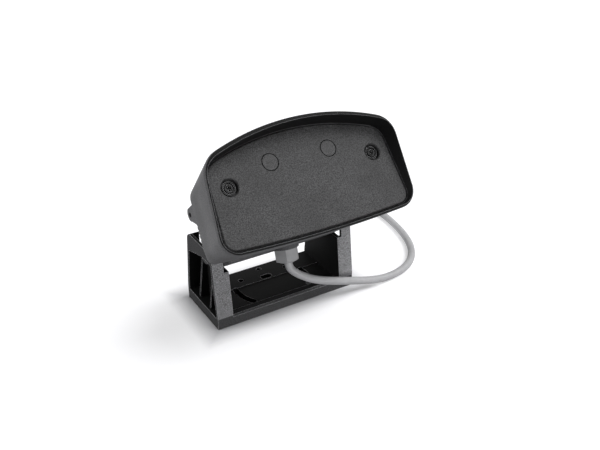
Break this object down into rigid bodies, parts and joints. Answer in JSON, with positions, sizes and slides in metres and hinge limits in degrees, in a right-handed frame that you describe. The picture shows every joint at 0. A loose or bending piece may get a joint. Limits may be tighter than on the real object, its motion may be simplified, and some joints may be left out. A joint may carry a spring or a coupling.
{
  "type": "door radar sensor",
  "caption": "Hooded microwave motion sensor head for a powered door, tilting between the cheeks of a screw-on bracket, with a cable gland and connection cable.",
  "frame": {"origin": "middle of the bracket's mounting face", "axes": "+Z away from the mounting surface, -Y to the side that the head's face looks to, +X to the right of someone looking at the face"},
  "size_m": [0.1948, 0.2037, 0.1333],
  "materials": {
    "housing_plastic": "fine textured moulding",
    "cover_plastic": "grained moulding",
    "bracket_plastic": "fine textured moulding",
    "window_plastic": "smoked clear moulding",
    "seal_rubber": "soft rubber",
    "black_steel": "black coated screw",
    "zinc_steel": "zinc plated",
    "insert_brass": "turned",
    "board_laminate": "lacquered laminate",
    "antenna_laminate": "gold plated patches on laminate",
    "component_plastic": "moulded component",
    "gland_nylon": "satin grey nylon",
    "cable_sheath": "smooth flexible sheath",
    "tie_nylon": "nylon strap"
  },
  "bodies": {
    "bracket": {"bracket": "bracket_plastic", "pivot_washers": "black_steel", "cable": "cable_sheath", "cable_coil": "cable_sheath", "coil_tie": "tie_nylon"},
    "head": {"front_housing": "housing_plastic", "front_cover": "cover_plastic", "cover_gasket": "seal_rubber", "cover_screws": "black_steel", "status_window": "window_plastic", "receiver_window": "window_plastic", "rear_housing": "housing_plastic", "rear_gasket": "seal_rubber", "rear_screws": "black_steel", "main_board": "board_laminate", "board_screws": "zinc_steel", "radar_shield": "zinc_steel", "antenna_board": "antenna_laminate", "relay": "component_plastic", "terminal_block": "component_plastic", "cable_tail": "cable_sheath", "status_led": "window_plastic", "remote_receiver": "window_plastic", "gland_body": "gland_nylon", "gland_seal": "seal_rubber", "gland_nut": "gland_nylon", "gland_locknut": "gland_nylon", "pivot_inserts": "insert_brass", "pivot_screws": "black_steel"}
  },
  "joints": [
    {"name": "head_tilt", "type": "hinge", "parent": "bracket", "child": "head", "pos_m": [0, 0, 0.04], "axis": [-1, 0, 0], "range_deg": [-40, 50], "deforming": ["cable"]}
  ]
}
